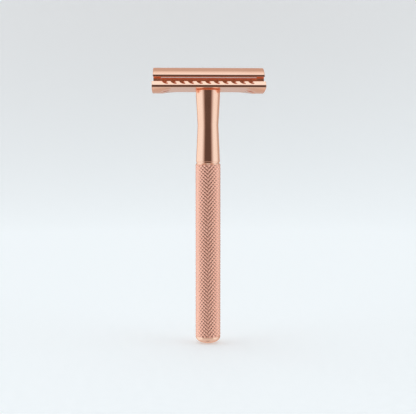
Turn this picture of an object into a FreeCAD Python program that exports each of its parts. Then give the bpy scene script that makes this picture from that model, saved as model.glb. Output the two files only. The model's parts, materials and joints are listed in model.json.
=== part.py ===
"""Three-piece double-edge safety razor.

A curved cap carries a threaded stud and two guide pins. They pass down through the blade and the base plate,
and the stud screws into a bush in the top of the handle. Turning the handle draws the cap down, which bends
the blade over the base plate and clamps it between the cap's lips and the base plate's land.

Frame: millimetres, +Z up along the handle. The origin is the centre of the foot at the handle's lower end.
X runs along the blade's cutting edges, and the razor is the same when it is turned 180 degrees about Z.
"""

import FreeCAD, Part
import math
import os

from FreeCAD import Vector

# ---- Blade: the standard part that the head is sized from ----
BLADE_LENGTH = 43.0
BLADE_WIDTH = 22.0
BLADE_THICKNESS = 0.1
BLADE_EDGE_LENGTH = 37.2
BLADE_TAB_WIDTH = 13.2
BLADE_BEND_RADIUS = 19.5
BLADE_SLOT_WIDTH = 2.6
BLADE_CENTRE_HOLE_RADIUS = 3.2
BLADE_END_HOLE_RADIUS = 1.7
CROSS_SLOT_X = 9.4
CROSS_SLOT_LENGTH = 2.0
CROSS_SLOT_WIDTH = 5.4
BLADE_CLEARANCE = 0.03

# ---- Fits ----
SEAT_CLEARANCE = 0.02
PRESS_CLEARANCE = 0.01
STUD_RUNNING_CLEARANCE = 0.05
STUD_HOLE_CLEARANCE = 0.15
BOSS_CLEARANCE = 0.2

# ---- Handle, from the foot upwards ----
FOOT_RADIUS = 1.6
DOME_RADIUS = 5.0
DOME_HEIGHT = 2.75
DOME_FULLNESS = 2.2
GRIP_RADIUS = 5.05
GRIP_BORE_RADIUS = 3.72
GRIP_LENGTH = 69.13
GRIP_CHAMFER = 0.25
RING_LOW_RADIUS = 4.95
RING_HIGH_RADIUS = 4.58
RING_HEIGHT = 1.08
NECK_BOTTOM_RADIUS = 4.8
NECK_WAIST_RADIUS = 4.15
NECK_TOP_RADIUS = 4.93
NECK_WAIST_RISE = 14.8
NECK_HEIGHT = 28.6
NECK_EDGE = 0.15
SPIGOT_LENGTH = 8.0
SPIGOT_CHAMFER = 0.4
CORE_RADIUS = 3.6
CORE_END_GAP = 0.6
BUSH_RADIUS = 3.4
BUSH_LENGTH = 8.2
BUSH_DEPTH = 0.4
TIP_HOLE_RADIUS = 2.8
TIP_HOLE_DEPTH = 1.2

# ---- Stud and pins. The M5 x 0.8 thread is drawn as plain cylinders ----
STUD_RADIUS = 2.5
STUD_ENGAGEMENT = 6.4
STUD_TIP_CHAMFER = 0.5
STUD_HEAD_COVER = 0.8
PIN_X = 16.8
PIN_RADIUS = 1.2
PIN_TIP_RISE = 1.0
PIN_TIP_CHAMFER = 0.3
PIN_HOLE_RADIUS = 1.35
PIN_HOLE_STRETCH = 0.6

# ---- Head. A rise is a height above the seat, where the base plate rests on the neck ----
HEAD_RISE = 8.84
BLADE_EDGE_RISE = 3.95
CAP_LENGTH = 43.6
CAP_LIP_Y = 9.88
CAP_LIP_RISE = 5.27
CAP_LIP_ROUND = 0.12
CAP_END_ROUND = 0.25
CAP_BOSS_RADIUS = 2.9
CAP_BOSS_LENGTH = 1.8
POCKET_X = (3.9, 14.4)
POCKET_Y = (1.9, 6.3)
POCKET_DEPTH = 0.7

BASE_LENGTH = 44.4
LAND_LENGTH = 43.1
LAND_EDGE_Y = 8.7
BELLY_RISE = -1.15
BELLY_EDGE_Y = 11.85
BELLY_EDGE_RISE = 0.0
NOSE_Y = 12.2
NOSE_LOW_RISE = 0.24
NOSE_HIGH_RISE = 1.12
NOSE_ROUND = 0.15
RIDGE_Y = 10.75
RIDGE_RISE = 2.7
RIDGE_ROUND = 0.2
SHELF_Y = 9.3
ARCH_RISE = 0.2
ARCH_FLAT_X = 12.0
ARCH_END_X = 19.1
END_ROUND = 0.15
SEAT_BOSS_RADIUS = 4.7
CHANNEL_END_X = 17.5
CHANNEL_RISE = 1.4
CHANNEL_TOP_Y = 8.0
CHANNEL_INNER_Y = 9.2
CHANNEL_OUTER_Y = 10.3
CHANNEL_ROUND = 0.35
FLUTE_COUNT = 11
FLUTE_PITCH = 3.35
FLUTE_RADIUS = 0.7
FLUTE_BELOW_RIDGE = 0.45
FLUTE_MID_Y = 11.4
FLUTE_LENGTH = 4.2
FLUTE_ANGLE = 45.0

# ---- Levels worked out from the sizes above ----
GRIP_BOTTOM = DOME_HEIGHT + SEAT_CLEARANCE
GRIP_TOP = GRIP_BOTTOM + GRIP_LENGTH
RING_BOTTOM = GRIP_TOP + PRESS_CLEARANCE
NECK_BOTTOM = RING_BOTTOM + RING_HEIGHT + PRESS_CLEARANCE
NECK_WAIST = NECK_BOTTOM + NECK_WAIST_RISE
NECK_TOP = NECK_BOTTOM + NECK_HEIGHT
SEAT = NECK_TOP + SEAT_CLEARANCE
BUSH_TOP = NECK_TOP - BUSH_DEPTH
BUSH_BOTTOM = BUSH_TOP - BUSH_LENGTH
SPIGOT_RADIUS = GRIP_BORE_RADIUS - PRESS_CLEARANCE

BLADE_EDGE_ANGLE = BLADE_WIDTH / 2 / BLADE_BEND_RADIUS
BLADE_SAGITTA = BLADE_BEND_RADIUS * (1 - math.cos(BLADE_EDGE_ANGLE))
BLADE_CROWN = SEAT + BLADE_EDGE_RISE + BLADE_SAGITTA
BEND_CENTRE = BLADE_CROWN - BLADE_BEND_RADIUS
LAND_RADIUS = BLADE_BEND_RADIUS - BLADE_CLEARANCE
CAP_INNER_RADIUS = BLADE_BEND_RADIUS + BLADE_THICKNESS + BLADE_CLEARANCE
CAP_TOP = SEAT + HEAD_RISE
CAP_UNDERSIDE = BEND_CENTRE + CAP_INNER_RADIUS
BOSS_LOW = CAP_UNDERSIDE - CAP_BOSS_LENGTH
STUD_TIP = BUSH_TOP - STUD_ENGAGEMENT
SOCKET_TOP = CAP_TOP - STUD_HEAD_COVER

UP = Vector(0, 0, 1)
ALONG = Vector(1, 0, 0)
ACROSS = Vector(0, 1, 0)
OVERSHOOT = 1.0
DOME_STEPS = 8


def edges_of(points, place):
    """Closed loop of edges. A point is (a, b) for a straight edge to it, or (mid, end) for an arc to end."""
    last = points[-1]
    here = last[1] if isinstance(last[0], tuple) else last
    edges = []
    for point in points:
        if isinstance(point[0], tuple):
            middle, end = point
            edges.append(Part.Arc(place(*here), place(*middle), place(*end)).toShape())
        else:
            end = point
            edges.append(Part.LineSegment(place(*here), place(*end)).toShape())
        here = end
    return edges


def face_of(points, place):
    return Part.Face(Part.Wire(edges_of(points, place)))


def along_x(points, half_length):
    """Solid with a (y, z) outline, reaching half_length either side of the middle."""
    face = face_of(points, lambda y, z: Vector(-half_length, y, z))
    return face.extrude(ALONG * (2 * half_length))


def across_y(points):
    """Solid with an (x, z) outline, wider than the base plate."""
    half_width = NOSE_Y + OVERSHOOT
    face = face_of(points, lambda x, z: Vector(x, -half_width, z))
    return face.extrude(ACROSS * (2 * half_width))


def along_z(points, low, high):
    """Solid with an (x, y) outline."""
    face = face_of(points, lambda x, y: Vector(x, y, low))
    return face.extrude(UP * (high - low))


def turned(points):
    """Solid of revolution about the handle's axis, with an (r, z) outline."""
    face = face_of(points, lambda r, z: Vector(r, 0, z))
    return face.revolve(Vector(), UP, 360)


def rod(radius, low, high, x=0.0, chamfer=0.0):
    """Upright cylinder, with a chamfer at its lower end."""
    solid = Part.makeCylinder(radius, high - low, Vector(x, 0, low))
    if chamfer:
        rim = [e for e in solid.Edges if e.BoundBox.ZMax < low + chamfer and e.Closed]
        solid = solid.makeChamfer(chamfer, rim)
    return solid


def block(x0, x1, y0, y1, z0, z1):
    return Part.makeBox(x1 - x0, y1 - y0, z1 - z0, Vector(x0, y0, z0))


def arc_height(radius, y):
    """Height of an arc about the blade's bend centre."""
    return BEND_CENTRE + math.sqrt(radius**2 - y**2)


def mirrored(points):
    """The (a, b) points of one half, then the same half mirrored in a and in reverse order."""
    return points + [(-a, b) for a, b in reversed(points)]


def both_sides(solid):
    """The solid and its copy turned half a turn about the handle's axis."""
    other = solid.copy()
    other.rotate(Vector(), UP, 180)
    return [solid, other]


def x_cylinder(radius, half_length, z=BEND_CENTRE):
    """Cylinder along X; unless another height is given it lies on the blade's bend axis."""
    return Part.makeCylinder(radius, 2 * half_length, Vector(-half_length, 0, z), ALONG)


# ---- Handle ----
def end_cap():
    """Domed foot with a spigot that presses into the grip. The dome is part of a full ellipse."""
    power = 2 / DOME_FULLNESS
    start = math.asin((FOOT_RADIUS / DOME_RADIUS) ** (1 / power))
    depth = DOME_HEIGHT / math.cos(start) ** power
    curve = Part.BSplineCurve()
    points = []
    for i in range(DOME_STEPS + 1):
        angle = start + (math.pi / 2 - start) * i / DOME_STEPS
        rise = DOME_HEIGHT - depth * max(0.0, math.cos(angle)) ** power
        points.append(Vector(DOME_RADIUS * math.sin(angle) ** power, 0, rise))
    curve.interpolate(points)
    top = DOME_HEIGHT + SPIGOT_LENGTH
    corners = [
        (DOME_RADIUS, DOME_HEIGHT),
        (SPIGOT_RADIUS, DOME_HEIGHT),
        (SPIGOT_RADIUS, top - SPIGOT_CHAMFER),
        (SPIGOT_RADIUS - SPIGOT_CHAMFER, top),
        (0, top),
        (0, 0),
        (FOOT_RADIUS, 0),
    ]
    places = [Vector(r, 0, z) for r, z in corners]
    lines = [Part.LineSegment(a, b).toShape() for a, b in zip(places, places[1:])]
    return Part.Face(Part.Wire([curve.toShape()] + lines)).revolve(Vector(), UP, 360)


def grip_sleeve():
    """Tube at the crest size of the knurling."""
    low, high = GRIP_BOTTOM, GRIP_TOP
    return turned(
        [
            (GRIP_BORE_RADIUS, low),
            (GRIP_RADIUS - GRIP_CHAMFER, low),
            (GRIP_RADIUS, low + GRIP_CHAMFER),
            (GRIP_RADIUS, high - GRIP_CHAMFER),
            (GRIP_RADIUS - GRIP_CHAMFER, high),
            (GRIP_BORE_RADIUS, high),
        ]
    )


def core_rod():
    """Steel weight between the two spigots."""
    low = DOME_HEIGHT + SPIGOT_LENGTH + CORE_END_GAP
    high = GRIP_TOP - SPIGOT_LENGTH - CORE_END_GAP
    return rod(CORE_RADIUS, low, high)


def spacer_ring():
    """Ring that flares from the neck to the grip."""
    low, high = RING_BOTTOM, RING_BOTTOM + RING_HEIGHT
    bore = GRIP_BORE_RADIUS
    return turned([(bore, low), (RING_LOW_RADIUS, low), (RING_HIGH_RADIUS, high), (bore, high)])


def neck():
    """Two cones that meet at the waist, a spigot below, and a bore for the bush above."""
    bore = BUSH_RADIUS + PRESS_CLEARANCE
    spigot_end = GRIP_TOP - SPIGOT_LENGTH
    bore_floor = BUSH_BOTTOM - PRESS_CLEARANCE
    return turned(
        [
            (0, spigot_end),
            (SPIGOT_RADIUS - SPIGOT_CHAMFER, spigot_end),
            (SPIGOT_RADIUS, spigot_end + SPIGOT_CHAMFER),
            (SPIGOT_RADIUS, NECK_BOTTOM),
            (NECK_BOTTOM_RADIUS - NECK_EDGE, NECK_BOTTOM),
            (NECK_BOTTOM_RADIUS, NECK_BOTTOM + NECK_EDGE),
            (NECK_WAIST_RADIUS, NECK_WAIST),
            (NECK_TOP_RADIUS, NECK_TOP - NECK_EDGE),
            (NECK_TOP_RADIUS - NECK_EDGE, NECK_TOP),
            (bore, NECK_TOP),
            (bore, bore_floor),
            (TIP_HOLE_RADIUS, bore_floor),
            (TIP_HOLE_RADIUS, bore_floor - TIP_HOLE_DEPTH),
            (0, bore_floor - TIP_HOLE_DEPTH),
        ]
    )


def thread_bush():
    """Bush that holds the female thread."""
    low, high = BUSH_BOTTOM, BUSH_TOP
    bore = STUD_RADIUS + STUD_RUNNING_CLEARANCE
    return turned([(bore, low), (BUSH_RADIUS, low), (BUSH_RADIUS, high), (bore, high)])


# ---- Base plate ----
def base_section():
    """(y, z) outline of the base plate: curved belly, noses, ridges, shelves and the curved land."""
    land_z = arc_height(LAND_RADIUS, LAND_EDGE_Y)
    half = [
        (BELLY_EDGE_Y, SEAT + BELLY_EDGE_RISE),
        (NOSE_Y, SEAT + NOSE_LOW_RISE),
        (NOSE_Y, SEAT + NOSE_HIGH_RISE),
        (NOSE_Y - NOSE_ROUND, SEAT + NOSE_HIGH_RISE + NOSE_ROUND),
        (RIDGE_Y + RIDGE_ROUND, SEAT + RIDGE_RISE - RIDGE_ROUND / 2),
        (RIDGE_Y, SEAT + RIDGE_RISE),
        (RIDGE_Y - RIDGE_ROUND, SEAT + RIDGE_RISE - RIDGE_ROUND / 2),
        (SHELF_Y, SEAT + RIDGE_RISE - RIDGE_ROUND / 2),
        (LAND_EDGE_Y, land_z),
    ]
    whole = mirrored(half)
    middle = len(half)
    whole[0] = ((0, SEAT + BELLY_RISE), whole[0])
    whole[middle] = ((0, BEND_CENTRE + LAND_RADIUS), whole[middle])
    return whole


def base_side():
    """(x, z) outline of the base plate: arched underside, rounded ends and the shorter land."""
    low = SEAT + BELLY_RISE
    end = BASE_LENGTH / 2
    ridge = SEAT + RIDGE_RISE
    sharp = END_ROUND * (1 - math.sqrt(0.5))
    span = ARCH_END_X - ARCH_FLAT_X
    height = ARCH_RISE - BELLY_RISE
    radius = (span**2 + height**2) / (2 * height)
    half_span = span / 2
    arch_mid = SEAT + ARCH_RISE - radius + math.sqrt(radius**2 - half_span**2)
    return [
        (ARCH_FLAT_X, SEAT + ARCH_RISE),
        ((ARCH_FLAT_X + half_span, arch_mid), (ARCH_END_X, low)),
        (end - END_ROUND, low),
        ((end - sharp, low + sharp), (end, low + END_ROUND)),
        (end, ridge),
        (LAND_LENGTH / 2, ridge),
        (LAND_LENGTH / 2, CAP_TOP),
        (-LAND_LENGTH / 2, CAP_TOP),
        (-LAND_LENGTH / 2, ridge),
        (-end, ridge),
        (-end, low + END_ROUND),
        ((-end + sharp, low + sharp), (-end + END_ROUND, low)),
        (-ARCH_END_X, low),
        ((-ARCH_FLAT_X - half_span, arch_mid), (-ARCH_FLAT_X, SEAT + ARCH_RISE)),
    ]


def channel():
    """Lather channel between the land's sloping side and one guard bar."""
    floor = SEAT + CHANNEL_RISE
    return along_x(
        [
            (CHANNEL_TOP_Y, CAP_TOP),
            (CHANNEL_INNER_Y, floor + CHANNEL_ROUND),
            (CHANNEL_INNER_Y + CHANNEL_ROUND, floor),
            (CHANNEL_OUTER_Y - CHANNEL_ROUND, floor),
            (CHANNEL_OUTER_Y, floor + CHANNEL_ROUND),
            (RIDGE_Y - RIDGE_ROUND, SEAT + RIDGE_RISE - RIDGE_ROUND / 2),
            (RIDGE_Y - RIDGE_ROUND, CAP_TOP),
        ],
        CHANNEL_END_X,
    )


def flute(x):
    """Round groove that runs diagonally across the front guard bar."""
    turn = math.radians(FLUTE_ANGLE)
    direction = Vector(math.cos(turn), -math.sin(turn), 0)
    centre = Vector(x, -FLUTE_MID_Y, SEAT + RIDGE_RISE - FLUTE_BELOW_RIDGE)
    start = centre - direction * (FLUTE_LENGTH / 2)
    return Part.makeCylinder(FLUTE_RADIUS, FLUTE_LENGTH, start, direction)


def pin_hole(side):
    """Stretched hole for a guide pin, also a drain for rinsing."""
    inner = side * PIN_X
    outer = side * (PIN_X + PIN_HOLE_STRETCH)
    low, high = SEAT + BELLY_RISE - OVERSHOOT, CAP_TOP
    ends = [rod(PIN_HOLE_RADIUS, low, high, x) for x in (inner, outer)]
    middle = block(min(inner, outer), max(inner, outer), -PIN_HOLE_RADIUS, PIN_HOLE_RADIUS, low, high)
    return ends[0].fuse([ends[1], middle]).removeSplitter()


def base_plate():
    plate = along_x(base_section(), BASE_LENGTH / 2).common(across_y(base_side()))
    plate = plate.fuse(rod(SEAT_BOSS_RADIUS, SEAT, SEAT + NOSE_HIGH_RISE))
    boss_hole = rod(CAP_BOSS_RADIUS + BOSS_CLEARANCE, BOSS_LOW - BOSS_CLEARANCE, CAP_TOP)
    stud_hole = rod(STUD_RADIUS + STUD_HOLE_CLEARANCE, SEAT - OVERSHOOT, CAP_TOP)
    tools = both_sides(channel()) + [boss_hole, stud_hole, pin_hole(1), pin_hole(-1)]
    first = -(FLUTE_COUNT - 1) / 2
    for i in range(FLUTE_COUNT):
        tools += both_sides(flute((first + i) * FLUTE_PITCH))
    return plate.cut(tools).removeSplitter()


# ---- Blade ----
def blade_outline():
    """(x, y) outline of the blade with its corners cut away for the tabs."""
    end, edge = BLADE_LENGTH / 2, BLADE_EDGE_LENGTH / 2
    half, tab = BLADE_WIDTH / 2, BLADE_TAB_WIDTH / 2
    right = [(end, tab), (edge, tab), (edge, half)]
    upper = right + [(-x, y) for x, y in reversed(right)]
    return upper + [(-x, -y) for x, y in upper]


def razor_blade():
    """Thin blade, bent over the land, with the openings that the stud and pins pass through."""
    outer, inner = BLADE_BEND_RADIUS + BLADE_THICKNESS, BLADE_BEND_RADIUS
    shell = x_cylinder(outer, BLADE_LENGTH / 2).cut(x_cylinder(inner, BLADE_LENGTH / 2))
    edge_y = inner * math.sin(BLADE_EDGE_ANGLE)
    shrink = edge_y / (BLADE_WIDTH / 2)
    plan = [(x, y * shrink) for x, y in blade_outline()]
    low, high = SEAT, CAP_TOP + OVERSHOOT
    blade = shell.common(along_z(plan, low, high))
    openings = [
        block(-PIN_X, PIN_X, -BLADE_SLOT_WIDTH / 2, BLADE_SLOT_WIDTH / 2, low, high),
        rod(BLADE_CENTRE_HOLE_RADIUS, low, high),
    ]
    half_slot = CROSS_SLOT_LENGTH / 2
    half_width = CROSS_SLOT_WIDTH / 2
    for side in (-1, 1):
        centre = side * CROSS_SLOT_X
        openings.append(rod(BLADE_END_HOLE_RADIUS, low, high, side * PIN_X))
        openings.append(block(centre - half_slot, centre + half_slot, -half_width, half_width, low, high))
    return blade.cut(openings)


# ---- Cap ----
def cap_shell():
    """Curved shell with an upright lip along each edge, rounded where it meets the blade."""
    lip_y = CAP_LIP_Y - CAP_LIP_ROUND
    lip_low = arc_height(CAP_INNER_RADIUS, lip_y)
    lip_high = SEAT + CAP_LIP_RISE
    bend = CAP_LIP_ROUND * math.sqrt(0.5)
    half = [
        (CAP_LIP_Y, lip_high),
        (CAP_LIP_Y, lip_low + CAP_LIP_ROUND),
        ((lip_y + bend, lip_low + CAP_LIP_ROUND - bend), (lip_y, lip_low)),
    ]
    section = [
        ((0, CAP_TOP), half[0]),
        half[1],
        half[2],
        ((0, CAP_UNDERSIDE), (-lip_y, lip_low)),
        ((-lip_y - bend, lip_low + CAP_LIP_ROUND - bend), (-CAP_LIP_Y, lip_low + CAP_LIP_ROUND)),
        (-CAP_LIP_Y, lip_high),
    ]
    rise = CAP_TOP - lip_high
    radius = (CAP_LIP_Y**2 + rise**2) / (2 * rise)
    drum = x_cylinder(radius, CAP_LENGTH / 2, CAP_TOP - radius)
    rims = [e for e in drum.Edges if e.BoundBox.XLength < e.BoundBox.YLength]
    return along_x(section, CAP_LENGTH / 2).common(drum.makeFillet(CAP_END_ROUND, rims))


def pockets():
    """Four shallow hollows in the cap's underside, which lighten it."""
    tools = []
    skin = x_cylinder(CAP_INNER_RADIUS + POCKET_DEPTH, CAP_LENGTH / 2)
    for x_side in (-1, 1):
        for y_side in (-1, 1):
            xs = sorted(x_side * x for x in POCKET_X)
            ys = sorted(y_side * y for y in POCKET_Y)
            tools.append(skin.common(block(*xs, *ys, SEAT, CAP_TOP)))
    return tools


def top_cap():
    cap = cap_shell().cut(pockets())
    cap = cap.fuse(rod(CAP_BOSS_RADIUS, BOSS_LOW, SOCKET_TOP))
    sockets = [rod(STUD_RADIUS + PRESS_CLEARANCE, SEAT, SOCKET_TOP)]
    for side in (-1, 1):
        sockets.append(rod(PIN_RADIUS + PRESS_CLEARANCE, SEAT, SOCKET_TOP, side * PIN_X))
    return cap.cut(sockets).removeSplitter()


def threaded_stud():
    return rod(STUD_RADIUS, STUD_TIP, SOCKET_TOP - PRESS_CLEARANCE, chamfer=STUD_TIP_CHAMFER)


def guide_pin(side):
    return rod(PIN_RADIUS, SEAT + PIN_TIP_RISE, SOCKET_TOP - PRESS_CLEARANCE, side * PIN_X, PIN_TIP_CHAMFER)


PARTS = {
    "end_cap": end_cap,
    "grip_sleeve": grip_sleeve,
    "core_rod": core_rod,
    "spacer_ring": spacer_ring,
    "neck": neck,
    "thread_bush": thread_bush,
    "base_plate": base_plate,
    "razor_blade": razor_blade,
    "top_cap": top_cap,
    "threaded_stud": threaded_stud,
    "left_guide_pin": lambda: guide_pin(-1),
    "right_guide_pin": lambda: guide_pin(1),
}

os.makedirs("parts", exist_ok=True)
for name, make in PARTS.items():
    solids = make().Solids
    if len(solids) != 1:
        raise RuntimeError(f"{name} came out as {len(solids)} solids")
    solids[0].exportStep(f"parts/{name}.step")
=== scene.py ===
"""The looks of a three-piece double-edge safety razor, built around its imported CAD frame.

Outlines are in millimetres in the frame's own axes: +Z up the handle, X along the cutting edges, -Y to the
front. add_piece() turns them into metres. Sizes come from the frame's boxes and from the few values below.
"""

import json
import math

import bmesh
import bpy
from mathutils import Matrix, Vector

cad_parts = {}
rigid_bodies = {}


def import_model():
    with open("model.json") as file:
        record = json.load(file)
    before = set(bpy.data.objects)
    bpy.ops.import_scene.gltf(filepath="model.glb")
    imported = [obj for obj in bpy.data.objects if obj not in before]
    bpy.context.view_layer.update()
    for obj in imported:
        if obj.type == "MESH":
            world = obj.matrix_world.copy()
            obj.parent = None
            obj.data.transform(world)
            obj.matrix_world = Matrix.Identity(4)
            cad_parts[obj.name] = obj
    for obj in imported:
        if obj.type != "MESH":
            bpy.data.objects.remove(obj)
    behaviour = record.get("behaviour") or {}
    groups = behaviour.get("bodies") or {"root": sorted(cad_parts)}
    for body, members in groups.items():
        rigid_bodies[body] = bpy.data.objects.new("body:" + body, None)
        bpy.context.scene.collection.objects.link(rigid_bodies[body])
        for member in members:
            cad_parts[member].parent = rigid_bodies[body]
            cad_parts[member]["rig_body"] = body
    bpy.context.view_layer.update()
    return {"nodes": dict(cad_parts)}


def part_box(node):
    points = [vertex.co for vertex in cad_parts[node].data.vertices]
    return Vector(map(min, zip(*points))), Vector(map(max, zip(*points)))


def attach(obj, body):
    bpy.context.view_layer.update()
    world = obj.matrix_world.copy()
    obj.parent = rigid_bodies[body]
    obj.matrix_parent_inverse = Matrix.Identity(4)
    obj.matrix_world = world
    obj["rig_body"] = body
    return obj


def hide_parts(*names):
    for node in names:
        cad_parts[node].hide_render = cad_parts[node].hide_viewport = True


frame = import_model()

MM = 0.001


def box(node):
    """Lowest and highest corner of a CAD node, in millimetres."""
    low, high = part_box(node)
    return low / MM, high / MM


SLEEVE_LOW, SLEEVE_HIGH = box("grip_sleeve")
NECK_LOW, NECK_HIGH = box("neck")
RING_LOW, RING_HIGH = box("spacer_ring")
BUSH_LOW, BUSH_HIGH = box("thread_bush")
FOOT_LOW, FOOT_HIGH = box("end_cap")
ROD_LOW, ROD_HIGH = box("core_rod")
STUD_LOW, STUD_HIGH = box("threaded_stud")
_, CAP_HIGH = box("top_cap")
_, BASE_HIGH = box("base_plate")
_, BLADE_HIGH = box("razor_blade")
PIN_LOW, PIN_HIGH = box("right_guide_pin")

# ---- Shared. Pressed-in pieces keep a press gap, and pieces that stand on another keep a seat gap ----
PRESS_GAP = 0.01
SEAT_GAP = 0.02
INNER_ROUND = 0.4
TURNING_STEPS = 128
CURVE_STEPS = 64
HOLE_STEPS = 64
CORNER_STEPS = 6
BAR_END_STEPS = 5
TOOL_REACH = 1.0
INSET_LIMIT = 0.5
TINY = 1e-6
NEAR = 1e-4
WELD = 1e-7  # in metres, unlike the rest

# ---- Handle ----
GRIP_RADIUS = SLEEVE_HIGH.x
GRIP_BORE = 3.72
GRIP_CHAMFER = 0.25
RIM_RADIUS = 4.95
GROOVE_DEPTH = 0.34
RIGHT_STARTS = 22
RIGHT_PITCH = 1.67
LEFT_STARTS = 20
LEFT_PITCH = 1.39
KNURL_PER_MM = 1 / (LEFT_STARTS * LEFT_PITCH) + 1 / (RIGHT_STARTS * RIGHT_PITCH)
KNURL_FRACTIONS = (0.0, 0.1, 0.36, 0.5, 0.64, 0.9)
KNURL_HEIGHTS = (0.0, 0.08, 0.86, 1.0, 0.86, 0.08)
KNURL_STEPS = len(KNURL_FRACTIONS)
KNURL_MARGIN = 1.5
NECK_BOTTOM = RING_HIGH.z + PRESS_GAP
NECK_BOTTOM_RADIUS = 4.8
NECK_WAIST = NECK_BOTTOM + 14.8
NECK_WAIST_RADIUS = 4.15
WAIST_ROUND = 0.6
NECK_EDGE = 0.15
BORE_EDGE = 0.08
RELIEF_RADIUS = 2.8
RELIEF_DEPTH = 1.2
SPIGOT_RADIUS = GRIP_BORE - PRESS_GAP
FOOT_RADIUS = 1.6
DOME_HEIGHT = SLEEVE_LOW.z - SEAT_GAP
DOME_FULLNESS = 2.2
DOME_STEPS = 32
RING_HIGH_RADIUS = 4.58
RING_BAND = 0.15
RING_EDGE = 0.06
COVE_RISE = 0.6
COVE_ROUND = 0.5

# ---- Screw thread. Its crest and flank are shares of half a pitch ----
THREAD_PITCH = 0.8
THREAD_DEPTH = 0.43
THREAD_CREST = 0.12
THREAD_FLANK = 0.76
THREAD_ROWS_PER_PITCH = 8
THREAD_STEPS = 48
THREAD_CLEARANCE = 0.05
STUD_TIP_INSET = 0.75
STUD_TIP_RISE = 0.3
STUD_THREAD_RISE = 0.5
STUD_SHANK_RISE = 3.0
STUD_TOP_CHAMFER = 0.1
BUSH_LEAD = 0.3
BUSH_CHAMFER = 0.12

# ---- Head. A rise is a height above the seat, where the base plate rests on the neck ----
SEAT = NECK_HIGH.z + SEAT_GAP
STUD_HOLE_RADIUS = 2.65
STUD_HOLE_CHAMFER = 0.2
PIN_X = 16.8
PIN_RADIUS = (PIN_HIGH.x - PIN_LOW.x) / 2
PIN_STEPS = 48
PIN_TIP_ROUND = 0.35
PIN_TOP_ROUND = 0.1

BLADE_THICKNESS = 0.1
BEND_RADIUS = 19.5
BEND_CENTRE = BLADE_HIGH.z - BEND_RADIUS - BLADE_THICKNESS
BLADE_EDGE = 18.6
BLADE_HALF_WIDTH = 11.0
BLADE_TAB = 6.6
BLADE_TAB_ROUND = 0.3
BLADE_NOTCH_ROUND = 0.2
BLADE_SLOT_HALF_WIDTH = 1.3
BLADE_HOLES = ((0, 3.2), (-PIN_X, 1.7), (PIN_X, 1.7))  # each hole's x and radius
WINDOW_X = 9.4
WINDOW_HALF_LENGTH = 1.0
WINDOW_HALF_WIDTH = 2.7
WINDOW_ROUND = 0.4
HONED_WIDTH = 0.45
HONED_THICKNESS = 0.01
BEND_STEPS = 44

CAP_INNER_RADIUS = BEND_RADIUS + 0.13
CAP_LIP_RISE = 5.27
CAP_LIP_ROUND = 0.2
CAP_LIP_LOW_ROUND = 0.1
CAP_LIP_LOW_STEPS = 4
CAP_END_ROUND = 0.25
CAP_RISE = CAP_HIGH.z - SEAT - CAP_LIP_RISE
CAP_RADIUS = (CAP_HIGH.y**2 + CAP_RISE**2) / (2 * CAP_RISE)
CAP_CENTRE = CAP_HIGH.z - CAP_RADIUS
BOSS_RADIUS = 2.9
BOSS_LENGTH = 1.8
BOSS_LOW = BEND_CENTRE + CAP_INNER_RADIUS - BOSS_LENGTH
BOSS_EDGE = 0.25
BOSS_CLEARANCE = 0.2
POCKET_X = (3.9, 14.4)
POCKET_Y = (1.9, 6.3)
POCKET_DEPTH = 0.7
POCKET_ROUND = 0.2
POCKET_STEPS = 12

LAND_RADIUS = BEND_RADIUS - 0.03
LAND_END_X = 21.55
LAND_EDGE_Y = 8.7
BASE_END_ROUND = 0.1
BELLY_RISE = -1.15
BELLY_EDGE_Y = 11.85
NOSE_LOW_RISE = 0.24
NOSE_HIGH_RISE = 1.12
NOSE_ROUND = 0.15
RIDGE_Y = 10.75
RIDGE_RISE = 2.7
RIDGE_ROUND = 0.16
SHELF_Y = 9.3
SHELF_DROP = 0.1
SHELF_ROUND = 0.25
ARCH_RISE = 0.2
ARCH_FLAT_X = 12.0
ARCH_END_X = 19.1
ARCH_STEPS = 24
SEAT_BOSS_RADIUS = 4.7
SEAT_BOSS_HEIGHT = 0.6
SEAT_BOSS_EDGE = 0.1
CHANNEL_END_X = 17.5
CHANNEL_RISE = 1.4
CHANNEL_TOP_Y = 8.0
CHANNEL_INNER_Y = 9.2
CHANNEL_OUTER_Y = 10.3
CHANNEL_BRINK_Y = 10.55
CHANNEL_ROUND = 0.4
CHANNEL_END_ROUND = 0.35
FLUTE_COUNT = 11
FLUTE_PITCH = 3.35
FLUTE_RADIUS = 0.7
FLUTE_STEPS = 24
FLUTE_BELOW_RIDGE = 0.45
FLUTE_MID_Y = 11.4
FLUTE_LENGTH = 4.2
PIN_HOLE_RADIUS = 1.35
PIN_HOLE_STRETCH = 0.6


def outline_arc(centre, radius, start, end, steps):
    """Points on an arc in the outline's plane, from one angle to another, in degrees."""
    angles = [math.radians(start + (end - start) * i / steps) for i in range(steps + 1)]
    return [(centre[0] + radius * math.cos(a), centre[1] + radius * math.sin(a)) for a in angles]


def round_outline(centre, radius, steps):
    """Points all the way round a circle."""
    return outline_arc(centre, radius, 0, 360 - 360 / steps, steps - 1)


def rounded(corners, closed=True):
    """Outline through the corners. A corner (a, b, radius) is rounded and a corner (a, b) stays sharp."""
    count = len(corners)
    outline = []
    for i, corner in enumerate(corners):
        here = Vector(corner[:2])
        inside = closed or 0 < i < count - 1
        if len(corner) < 3 or not inside:
            outline.append(tuple(here))
            continue
        back = (Vector(corners[i - 1][:2]) - here).normalized()
        ahead = (Vector(corners[(i + 1) % count][:2]) - here).normalized()
        half = back.angle(ahead) / 2
        centre = here + (back + ahead).normalized() * (corner[2] / math.sin(half))
        start = here + back * (corner[2] / math.tan(half)) - centre
        sweep = (180 - math.degrees(2 * half)) * math.copysign(1, back.cross(ahead))
        first = math.degrees(math.atan2(start.y, start.x))
        outline += outline_arc(centre, corner[2], first, first - sweep, CORNER_STEPS)
    return outline


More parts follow.
